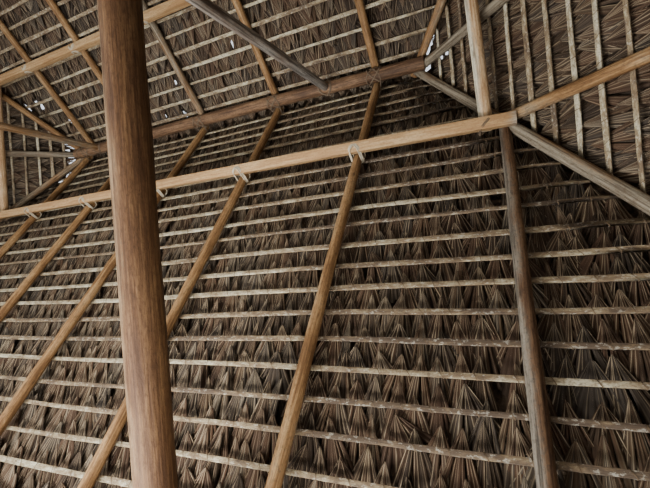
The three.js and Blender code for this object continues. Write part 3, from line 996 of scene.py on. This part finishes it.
def model_fan(blades, spread, length, widths, fold, cup, unevenness=1.0):
    """A fan of folded blades, no two alike, joined into one model."""
    parts = []
    for index in range(blades):
        share = 2 * index / (blades - 1) - 1
        wide = random.uniform(1 - 0.15 * unevenness, 1 + 0.25 * unevenness)
        angle = share * math.radians(spread) / 2 + random.normal(0, 0.012) * unevenness
        start = (0.012 * abs(share) + random.uniform(0, 0.015)) * unevenness
        bpy.ops.object.select_all(action="DESELECT")
        blade = model_blade(
            length * random.uniform(0.9, 1.08), [w * wide for w in widths],
            fold * random.uniform(0.7, 1.3), random.normal(0, 0.002) * unevenness,
        )
        lift = random.normal(0, 0.0015) * unevenness
        blade.location = (math.sin(angle) * start, math.cos(angle) * start, lift)
        pitch = random.normal(0, 0.012) * unevenness
        blade.rotation_euler = (pitch, random.normal(0, 0.22) * unevenness, -angle)
        parts.append(blade)
    fan = parts[0]
    select_only(fan)
    for blade in parts:
        blade.select_set(True)
    bpy.ops.object.join()
    apply_place(fan)
    corners, loops, uvs = mesh_arrays(fan)
    corners[:, 2] += cup * corners[:, 0] ** 2
    number = np.stack((np.arange(blades), np.zeros(blades)), axis=1)
    uvs = uvs.reshape(blades, -1, 2) + number[:, None, :]
    return corners, loops, uvs.reshape(-1, 2)


INNER_FANS = [model_fan(INNER_BLADES, *plan) for plan in INNER_PLAN]
OUTER_FAN = model_fan(OUTER_BLADES, *OUTER_PLAN, 0.4)
print("fan faces", len(INNER_FANS[0][1]), "corners", len(INNER_FANS[0][0]))

# %% [markdown]
# ## Dry leaf
# Dead palm leaf is brown, from nearly black through red brown to straw. No two leaves have the same
# shade, and neither do the blades of one leaf. Fine fibres run along the blades, and the crests of
# the folds are painted pale, partly as worn edges and partly as a painted highlight. The valleys of
# the folds get painted shade, and each blade darkens towards its tip, partly as less faded leaf and
# partly as painted shade under the next row. Across a fan the UV counts the blades, so its whole part
# tells which blade it is, and the rest tells how far a place lies from the fold.

# %% Leaf finish
RED_LEAF = (0.085, 0.043, 0.025)
GREY_LEAF = (0.062, 0.056, 0.047)
FIBRE_SHADE = (0.045, 0.028, 0.017)
# The colour of the painted shade in the valleys of the folds.
PAINTED_VALLEY_SHADE = (0.03, 0.019, 0.012)
# The colour towards the blade tips: partly less faded leaf, partly painted shade under the next row.
DEEP_UNFADED_AND_SHADE = (0.025, 0.017, 0.011)


def leaf_finish(name, shades, crest_wear_and_highlight, depth_unfaded_and_shade, variety):
    """Dry leaf in many shades, crests pale from wear and a painted highlight, valleys in painted shade, tips
    darker.
    """
    material, tree, shader = start_finish(name)
    tint = kept(tree, "tint")
    own = node(tree, "ShaderNodeUVMap", {"uv_map": "own"}).outputs["UV"]
    parts = node(tree, "ShaderNodeSeparateXYZ", Vector=own)
    across, along = parts.outputs["X"], parts.outputs["Y"]
    wide = noise(tree, node(tree, "ShaderNodeTexCoord").outputs["Object"], 1.6, 3.0, 0.6)
    which = calc(tree, "ADD", calc(tree, "FLOOR", across), calc(tree, "MULTIPLY", tint, 941.0))
    strip = node(tree, "ShaderNodeTexWhiteNoise", {"noise_dimensions": "1D"}, W=which).outputs["Value"]
    line = node(
        tree, "ShaderNodeCombineXYZ", X=calc(tree, "MULTIPLY", across, 5.0),
        Y=calc(tree, "MULTIPLY", along, 1.5), Z=calc(tree, "MULTIPLY", tint, 90.0),
    )
    fibre = noise(tree, line.outputs[0], 1.4, 3.0, 0.6)
    shade = scaled_sum(tree, tint, 0.5, strip, 0.35)
    shade = calc(tree, "ADD", shade, calc(tree, "MULTIPLY", calc(tree, "SUBTRACT", wide, 0.5), 0.9))
    color = ramp(tree, shade, shades)
    other = calc(tree, "FRACT", calc(tree, "MULTIPLY", tint, 57.3))
    color = coat(tree, color, fade(tree, other, 0.60, 0.74), variety, RED_LEAF)
    color = coat(tree, color, fade(tree, other, 0.30, 0.18), variety, GREY_LEAF)
    color = coat(tree, color, fibre, 0.45, FIBRE_SHADE)
    fold = calc(tree, "PINGPONG", calc(tree, "ADD", across, 0.5), 0.5)
    # The crests of the folds are made pale, partly as worn edges and partly as a painted highlight.
    crest_wear_and_highlight_line = calc(tree, "SUBTRACT", 1.0, calc(tree, "MULTIPLY", fold, 7.0), True)
    color = coat(tree, color, crest_wear_and_highlight_line, calc(tree, "POWER", strip, 1.5), crest_wear_and_highlight)
    # Painted shade in the valleys of the folds, along the edges of each blade.
    painted_valley_shade = calc(tree, "MULTIPLY", calc(tree, "SUBTRACT", fold, 0.33), 6.0, True)
    color = coat(tree, color, painted_valley_shade, 0.7, PAINTED_VALLEY_SHADE)
    # Each blade darkens towards its tip, partly as less faded leaf and partly as painted shade where the next
    # row covers it.
    color = coat(tree, color, fade(tree, along, 0.5, 0.85), depth_unfaded_and_shade, DEEP_UNFADED_AND_SHADE)
    set_surface(tree, shader, color, 0.65, 0.12)
    bump(tree, shader, fibre, 0.5, 0.003)
    return material


INNER_FINISH = leaf_finish("dry_leaf_inside", (
    (0.10, (0.021, 0.015, 0.011)), (0.26, (0.031, 0.021, 0.014)), (0.40, (0.050, 0.032, 0.020)),
    (0.50, (0.071, 0.040, 0.022)), (0.60, (0.094, 0.062, 0.035)), (0.74, (0.070, 0.057, 0.044)),
    (0.94, (0.14, 0.114, 0.080)),
), (0.40, 0.315, 0.205), 0.5, 0.45)
OUTER_FINISH = leaf_finish("dry_leaf_outside", (
    (0.05, (0.10, 0.08, 0.06)), (0.35, (0.19, 0.16, 0.125)), (0.55, (0.27, 0.235, 0.19)),
    (0.75, (0.34, 0.31, 0.26)), (0.9, (0.42, 0.395, 0.345)),
), (0.48, 0.45, 0.40), 0.0, 0.0)
print("leaf finishes ready")

# %% [markdown]
# ## Leaves inside
# Every lath carries a row of leaves, set closer than they are wide so that they overlap. Each leaf
# is one of six fans, made wider or longer, turned a little, and a few hang quite askew. The rows
# near the eave are cut short there. The rear slope fills most of the view, so its leaves are laid
# closest.

# %% Placing leaves


def place_leaves(slope, corners, a, s, h, turn, tilt, size):
    """Copies of a leaf on a slope, each with its own turn, tilt and size."""
    local = corners[None] * size[:, None, :]
    ct, st = np.cos(tilt)[:, None], np.sin(tilt)[:, None]
    x, y, z = local[..., 0], local[..., 1], local[..., 2]
    y, z = y * ct - z * st, y * st + z * ct
    cz, sz = np.cos(turn)[:, None], np.sin(turn)[:, None]
    x, y = x * cz - y * sz, x * sz + y * cz
    return slope.place(a[:, None] + x, s[:, None] + y, h[:, None] + z)


def row_places(slope, rows, spacing, margin):
    """Places along every row of a slope, and the row of each."""
    a_list, s_list = [], []
    for s in rows:
        half = slope.half(s) - margin
        if half < 0.05:
            continue
        count = max(1, round(2 * half / spacing))
        a_list.append(np.linspace(-half, half, count) + random.normal(0, spacing * 0.16, count))
        s_list.append(np.full(count, s))
    return np.concatenate(a_list), np.concatenate(s_list)


print("ready to place leaves")

# %% Laying leaves
REAR_SPACING = 0.105
OTHER_SPACING = 0.125
INNER_MARGIN = 0.06
LAST_ROW_DROP = 0.17
PEAK_ABOVE_LATH = 0.125
LONGEST_BLADE = 0.49
FRINGE_DROP = 0.205

for slope in SLOPES.values():
    rows = np.concatenate((slope.laths, slope.laths[-1:] + LAST_ROW_DROP))
    spacing = REAR_SPACING if slope.name == "rear" else OTHER_SPACING
    a, s = row_places(slope, rows, spacing, INNER_MARGIN)
    kind = random.integers(0, len(INNER_FANS), len(a))
    sets, tints = [], []
    for index, (corners, _, _) in enumerate(INNER_FANS):
        mine = kind == index
        count = int(mine.sum())
        wider = (1.0 + 0.25 * s[mine] / slope.length) * spacing / REAR_SPACING
        size = np.stack((
            random.uniform(0.82, 1.24, count) * wider * random.choice((-1, 1), count),
            random.uniform(0.85, 1.15, count), random.uniform(0.8, 1.4, count),
        ), axis=1)
        askew = np.where(random.uniform(0, 1, count) < 0.06, 3.0, 1.0)
        peak = s[mine] + row_drift(slope, a[mine]) - PEAK_ABOVE_LATH
        room = slope.length + FRINGE_DROP / math.sin(slope.pitch) - peak
        size[:, 1] = np.minimum(size[:, 1], room / LONGEST_BLADE)
        sets.append(place_leaves(
            slope, corners, a[mine], peak + random.normal(0, 0.027, count),
            random.uniform(0.018, 0.034, count), random.normal(0, 0.11, count) * askew,
            random.uniform(0.10, 0.20, count), size,
        ))
        tints.append(random.uniform(0, 1, count))
    lay(
        "leaves_inside_" + slope.name, np.concatenate(sets), *INNER_FANS[0][1:], INNER_FINISH, "thatch",
        np.concatenate(tints),
    )

# %% [markdown]
# ## The outside rows
# From outside only the lower ends of the leaves show, row over row, from the eave up to the ridge.
# The rows follow the steps of the solid: each leaf ends at the edge of a step, and the last two
# rows bend down into the fringe of the eave.

# %% Outside leaves
THATCH_RISE = 0.22
STEP_RISE = 0.03
FIRST_STEP_DROP = 0.345
STEP_DROP = 0.24
EDGE_DEPTH = 0.015
FRINGE_RISE = 0.085
FRINGE_SPACING = 0.13
OUTER_SPACING = 0.17
OUTER_MARGIN = 0.02
BELOW_STEP = 0.006


def leaf_sizes(count, width, length):
    """Factors for the width, length and fold of some leaves, between two limits each."""
    return np.stack([random.uniform(*limits, count) for limits in (width, length, (0.6, 1.2))], axis=1)


def lay_outside_rows(slope, tips, surface_at, lean, spacing):
    """Rows of long fans whose tips lie on a line of the outer surface."""
    a, s = row_places(slope, tips, spacing, OUTER_MARGIN)
    count = len(a)
    size = leaf_sizes(count, (0.85, 1.15), (0.88, 1.04))
    reach = OUTER_LENGTH * size[:, 1]
    h = surface_at(s) - reach * np.sin(lean) + random.normal(0, 0.003, count)
    top = s - reach * math.cos(lean) + random.normal(0, 0.012, count)
    tilt = lean + random.normal(0, 0.012, count)
    return place_leaves(slope, OUTER_FAN[0], a, top, h, random.normal(0, 0.07, count), tilt, size)


for slope in SLOPES.values():
    sin, cos = math.sin(slope.pitch), math.cos(slope.pitch)
    butts = np.arange((FIRST_STEP_DROP + STEP_DROP) / sin, slope.length, STEP_DROP / sin)
    tip = slope.length + FRINGE_DROP / sin
    outer, butt = THATCH_RISE * cos, (THATCH_RISE + STEP_RISE) * cos
    thin = EDGE_DEPTH + FRINGE_RISE * cos
    step_lean = math.atan((butt - outer) * sin / STEP_DROP)
    fringe_lean = math.atan((thin - outer) / (tip - butts[-1]))
    main_rows = lay_outside_rows(
        slope, butts, lambda s: np.full(len(s), butt - BELOW_STEP), step_lean, OUTER_SPACING,
    )
    fringe = np.array((butts[-1] + 0.55 * (tip - butts[-1]), tip - 0.02))
    fringe_rows = lay_outside_rows(
        slope, fringe, lambda s: outer + (s - butts[-1]) * math.tan(fringe_lean), fringe_lean, FRINGE_SPACING,
    )
    sets = np.concatenate((main_rows, fringe_rows))
    lay("leaves_outside_" + slope.name, sets, *OUTER_FAN[1:], OUTER_FINISH, "thatch")

# %% [markdown]
# ## The core of the thatch
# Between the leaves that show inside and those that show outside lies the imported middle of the
# thatch, which keeps the light out. It is hardly seen, so a sheet for each slope does. It stays
# thin until the gaps have been opened, and is made thick then.

# %% The sheet and its finish
sheets = []


def core_finish():
    """Crushed leaf, dark and coarse."""
    material, tree, shader = start_finish("packed_leaf")
    spot = node(tree, "ShaderNodeTexCoord").outputs["Object"]
    fibre = noise(tree, spot, 24.0, 5.0, 0.7)
    shade = ramp(tree, fibre, ((0.35, (0.03, 0.02, 0.012)), (0.65, (0.15, 0.095, 0.055))))
    set_surface(tree, shader, shade, 0.95)
    bump(tree, shader, fibre, 0.8, 0.01)
    return material


def make_sheet(name, columns, rows, shape, replaced, depth):
    """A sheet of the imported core: a grid whose corners a function moves to their places."""
    bpy.ops.object.select_all(action="DESELECT")
    bpy.ops.mesh.primitive_grid_add(x_subdivisions=columns, y_subdivisions=rows, size=1)
    piece = bpy.context.object
    piece.name = name
    corners = corner_places(piece.data)
    piece.data.vertices.foreach_set("co", shape(corners[:, 0], corners[:, 1]).ravel())
    piece.data.update()
    piece.data.materials.append(CORE_FINISH)
    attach(piece, "root")
    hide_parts(replaced)
    sheets.append((piece, depth))


CORE_FINISH = core_finish()
print("sheet maker ready")

# %% Core of each slope
CORE_DEPTH = 0.03
CORE_BELOW_SURFACE = 0.02
CORE_GRID = (64, 40)

for slope in SLOPES.values():
    top = THATCH_RISE * math.cos(slope.pitch) - CORE_BELOW_SURFACE

    def shape(x, y):
        s = 0.005 + (y + 0.5) * (slope.length - 0.035)
        return slope.place(2 * x * (slope.half(s, top) - 0.012), s, top)

    make_sheet("thatch_core_" + slope.name, *CORE_GRID, shape, "thatch_" + slope.name, CORE_DEPTH)
print("core sheets", len(sheets))

# %% [markdown]
# ## Ridge cap
# Rain would run in where the two long slopes meet, so a thick cap of leaves is folded over the
# ridge. Its middle is a sheet that falls from the ridge to all four sides, and rows of fans hang
# over it.

# %% Ridge cap sheet
CAP_RISE = 0.09
CAP_HALF_WIDTH = 0.46
CAP_OVERRUN = 0.38
CAP_BELOW_SURFACE = 0.035
CAP_SHELL_DEPTH = 0.05
CAP_EDGE = 0.03
CAP_GRID = (120, 20)


def cap_shape(x, y):
    """The cap's top: the lower of its long sides and its ends."""
    x = 2 * x * (HALF_RIDGE + CAP_OVERRUN - CAP_EDGE)
    y = 2 * y * (CAP_HALF_WIDTH - CAP_EDGE)
    drop = np.maximum(np.abs(y) * math.tan(MAIN_PITCH), (np.abs(x) - HALF_RIDGE) * math.tan(END_PITCH))
    top = LATH_APEX_Z + THATCH_RISE + CAP_RISE - CAP_BELOW_SURFACE
    return np.stack((x, y, top - drop), axis=1)


make_sheet("ridge_cap_sheet", *CAP_GRID, cap_shape, "ridge_cap", CAP_SHELL_DEPTH)
print("sheets in all", len(sheets))

# %% [markdown]
# ## Leaves on the cap
# Three rows of fans hang from the ridge over the edge of the cap on each side. A leaf whose top
# would stand above the ridge is shortened to start there. On the two ends the leaves turn outwards
# like a hand, so that they close the corners.

# %% Ridge cap leaves
CAP_ROWS = 3
CAP_ROW_DROP = 0.13
CAP_SPACING = 0.11
CAP_MARGIN = 0.05
CORNER_TURN = 0.9

cap_sets = []
for slope in SLOPES.values():
    sin, cos = math.sin(slope.pitch), math.cos(slope.pitch)
    reach = CAP_OVERRUN if slope.offset else CAP_HALF_WIDTH
    surface = (THATCH_RISE + CAP_RISE) * cos
    tip = (reach - surface * sin) / cos
    for row in range(CAP_ROWS):
        tips = tip - CAP_ROW_DROP * row
        half = max(0.1, slope.half(tips, surface) - CAP_MARGIN)
        count = round(2 * half / CAP_SPACING)
        a = np.linspace(-half, half, count) + random.normal(0, 0.015, count)
        size = leaf_sizes(count, (0.6, 0.85), (0.8, 0.95))
        start = tips - OUTER_LENGTH * size[:, 1] + random.normal(0, 0.015, count)
        keep = np.maximum(start, -surface * sin / cos + 0.02)
        size[:, 1] *= (tips - keep) / (tips - start)
        turn = random.normal(0, 0.06, count) - (a * CORNER_TURN if slope.offset else 0.0)
        h = surface - 0.012 + 0.004 * row + random.normal(0, 0.002, count)
        cap_sets.append(place_leaves(
            slope, OUTER_FAN[0], a, keep, h, turn, random.normal(0.0, 0.01, count), size,
        ))
cap = lay("ridge_cap_leaves", np.concatenate(cap_sets), *OUTER_FAN[1:], OUTER_FINISH, "thatch")
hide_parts("ridge_cap")

# %% [markdown]
# ## Gaps in the thatch
# Near the ridge and the hips the leaves lie thin, and a little sky shows in a few small gaps. They
# are listed by where they fall in the picture, with their size there. Every face that would cover
# a gap is taken out, from the leaves and from the sheets of the core alike.

# %% Where the gaps fall
GAPS = (
    (433, 36, 0.7), (431, 41, 0.8), (429, 47, 1.2), (431, 44, 1.4), (428, 52, 1.6), (431, 50, 1.4),
    (431.5, 65, 2.0), (430.5, 69, 2.2), (427, 71, 1.8), (441.5, 58, 1.4), (447, 53, 1.0), (446.5, 57.5, 1.0),
    (167, 115, 1.2), (180, 106, 0.6), (183, 110, 0.6), (186.5, 114, 0.6), (176, 83, 0.7),
    (43, 108, 1.2), (36, 102, 0.9), (28, 107, 0.9), (72, 157, 1.0), (79, 151, 1.0), (232, 43, 0.7),
    (69.2, 150.7, 0.9), (73, 148, 0.7), (82.4, 164.2, 1.3), (74.7, 160.5, 0.9), (70.9, 163, 0.8),
    (75.5, 172, 1.0), (70.3, 175.5, 0.8), (62, 181.5, 0.6), (70, 119.7, 0.7), (426, 44.5, 0.9),
)
NEAREST = 0.5


def in_picture(places):
    """Where places fall in the picture, and how deep they lie."""
    width, height = PICTURE_SIZE
    offset = places - np.array(EYE)
    depth = offset @ np.array(LOOK)
    scale = width * LENS_MM / SENSOR_MM / depth
    right = width / 2 + offset @ np.array(picture_right) * scale
    return np.stack((right, height / 2 - offset @ np.array(picture_up) * scale), axis=-1), depth


def covers_a_gap(spots, ahead):
    """Tells for each face whether a gap lies on it, or so close that its edge would cross it."""
    gone = np.zeros(len(spots), bool)
    for x, y, reach in GAPS:
        start = spots - (x, y)
        end = np.roll(start, -1, axis=1)
        edge = end - start
        share = np.clip(-(start * edge).sum(-1) / np.maximum((edge ** 2).sum(-1), 1e-9), 0, 1)
        near = np.linalg.norm(start + share[..., None] * edge, axis=-1).min(axis=1) < reach
        turn = start[..., 0] * end[..., 1] - start[..., 1] * end[..., 0]
        gone |= ahead & (near | (turn > 0).all(axis=1) | (turn < 0).all(axis=1))
    return gone


print("gaps", len(GAPS))

# %% Opening the gaps


def open_gaps(piece):
    """Takes out the faces that cover a gap."""
    mesh = piece.data
    order = np.empty(len(mesh.loops), np.int32)
    mesh.loops.foreach_get("vertex_index", order)
    order = order.reshape(-1, 4)
    spots, depth = in_picture(corner_places(mesh))
    gone = covers_a_gap(spots[order], (depth[order] > NEAREST).all(axis=1))
    if not gone.any():
        return
    select_only(piece)
    bpy.ops.object.mode_set(mode="EDIT")
    bpy.ops.mesh.select_mode(type="FACE")
    bpy.ops.mesh.select_all(action="DESELECT")
    bpy.ops.object.mode_set(mode="OBJECT")
    mesh.polygons.foreach_set("select", gone)
    bpy.ops.object.mode_set(mode="EDIT")
    bpy.ops.mesh.delete(type="FACE")
    bpy.ops.object.mode_set(mode="OBJECT")
    print(piece.name, "faces taken out", int(gone.sum()))


for piece in list(bpy.data.objects):
    if piece.name.startswith(("leaves_", "ridge_cap_leaves", "ridge_cap_sheet", "thatch_core")):
        open_gaps(piece)

# %% [markdown]
# ## Making the core thick
# With the gaps open, each sheet is given its depth inwards. The walls of a gap come with it, so
# the light that falls through is stopped at the sides as in packed leaves.

# %% Thickness of the core
for piece, depth in sheets:
    select_only(piece)
    finish_with(piece, "SOLIDIFY", thickness=depth, offset=-1.0)
    bpy.ops.object.mode_set(mode="EDIT")
    bpy.ops.mesh.select_all(action="SELECT")
    bpy.ops.mesh.normals_make_consistent(inside=False)
    bpy.ops.object.mode_set(mode="OBJECT")
    print(piece.name, len(piece.data.polygons), "faces")

# %% [markdown]
# ## Lashings
# Where poles cross, a few turns of cord hold them. Each turn is a loop round both poles, lying in
# the plane between their directions. The outline of the two poles in that plane is wrapped with
# a closed curve, given a round section, and turned into a mesh.

# %% Where two poles cross, and their outline
OUTLINE_STEPS = 18


def closest(pole_a, pole_b):
    """The places where two pole axes pass nearest to each other."""
    (p, p_end, _), (q, q_end, _) = pole_a, pole_b
    d, e = p_end - p, q_end - q
    d, e = d / np.linalg.norm(d), e / np.linalg.norm(e)
    across = d @ e
    gap = p - q
    bottom = 1.0 - across * across
    t = (across * (e @ gap) - d @ gap) / bottom
    u = (e @ gap - across * (d @ gap)) / bottom
    return p + t * d, q + u * e, d, e


def wrap_outline(centres, reaches, cord):
    """Points of the outline round two ellipses, found by looking from all sides."""
    points = []
    for angle in np.linspace(0, 2 * math.pi, OUTLINE_STEPS, endpoint=False):
        view = np.array((math.cos(angle), math.sin(angle)))
        best = None
        for centre, reach in zip(centres, reaches):
            spread = np.linalg.norm(view * reach)
            spot = centre + view * reach * reach / spread
            if best is None or spot @ view > best @ view:
                best = spot
        points.append(best + view * cord)
    return points


print("points in a turn", OUTLINE_STEPS)

# %% One lashing
CORD_STEP = 2.1
SLACK = 1.02
TOUCHING = 1e-4
FLATTEST = 1e-3


def lashing(curve, pole_a, pole_b, turns, cord, both_ways):
    """Adds the turns of one lashing to a curve."""
    at_a, at_b, d, e = closest(pole_a, pole_b)
    up = at_b - at_a
    gap = np.linalg.norm(up)
    up = up / gap if gap > TOUCHING else np.cross(d, e)
    centre = (at_a + at_b) / 2
    for sign in ((1, -1) if both_ways else (-1,)):
        diagonal = d + sign * e
        diagonal -= up * (diagonal @ up)
        diagonal /= np.linalg.norm(diagonal)
        sideways = np.cross(diagonal, up)
        reaches = []
        for direction, radius in ((d, pole_a[2]), (e, pole_b[2])):
            crossing = math.sqrt(max(FLATTEST, 1.0 - (direction @ diagonal) ** 2))
            reaches.append(np.array((radius / crossing, radius)) * SLACK)
        centres = [np.array((0.0, (at - centre) @ up)) for at in (at_a, at_b)]
        outline = wrap_outline(centres, reaches, cord)
        for turn in range(turns):
            shift = (turn - (turns - 1) / 2) * CORD_STEP * cord + random.normal(0, 0.001)
            spline = curve.splines.new("POLY")
            spline.points.add(len(outline) - 1)
            for point, (x, y) in zip(spline.points, outline):
                place = centre + diagonal * x + up * y + sideways * shift
                point.co = (*place, 1.0)
            spline.use_cyclic_u = True


print("lashing maker ready")

# %% All lashings of one kind


def make_lashings(name, pairs, finish, turns, cord, both_ways):
    """All lashings of one kind, as one piece."""
    curve = bpy.data.curves.new(name, "CURVE")
    curve.dimensions = "3D"
    curve.bevel_depth = cord
    curve.bevel_resolution = 1
    for a, b in pairs:
        lashing(curve, poles[a], poles[b], turns, cord, both_ways)
    piece = bpy.data.objects.new(name, curve)
    bpy.context.scene.collection.objects.link(piece)
    select_only(piece)
    bpy.ops.object.convert(target="MESH")
    piece = bpy.context.object
    piece.name = name
    bpy.ops.object.shade_smooth()
    piece.data.materials.append(finish)
    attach(piece, "root")
    print(name, len(pairs), "crossings", len(piece.data.polygons), "faces")


print("ready for all lashings")

# %% Which poles are lashed
SIDES = ("rear", "front")
THIN_CORD, MIDDLE_CORD, THICK_CORD = 0.0035, 0.004, 0.005
DARK_CORD = cord_finish("old_cord", (0.22, 0.155, 0.095), (0.08, 0.052, 0.032))
rafters = {side: [n for n in node_names if n.startswith(f"{side}_rafter")] for side in SIDES}
jacks = {side: [n for n in node_names if n.startswith(f"{side}_jack")] for side in SIDES}
on_ridge = [(r, "ridge_pole") for side in SIDES for r in rafters[side]]
on_purlins = [(r, f"purlin_{side}") for side in SIDES for r in rafters[side]]
on_plates = [(r, f"long_plate_{side}") for side in SIDES for r in rafters[side] + jacks[side]]
on_collars = [(f"collar_tie_{end}", f"purlin_{side}") for end in ("right", "left") for side in SIDES]
on_kings = [("king_post_right", "ridge_pole"), ("king_post_left", "ridge_pole")]

make_lashings("ridge_lashings", on_ridge, DARK_CORD, 2, THIN_CORD, True)
make_lashings("purlin_lashings", on_purlins, CORD_FINISH, 3, THICK_CORD, True)
make_lashings("plate_lashings", on_plates, CORD_FINISH, 2, MIDDLE_CORD, False)
make_lashings("collar_lashings", on_collars, DARK_CORD, 2, MIDDLE_CORD, False)
make_lashings("king_lashings", on_kings, DARK_CORD, 3, THIN_CORD, True)
print("poles to lash", len(poles))
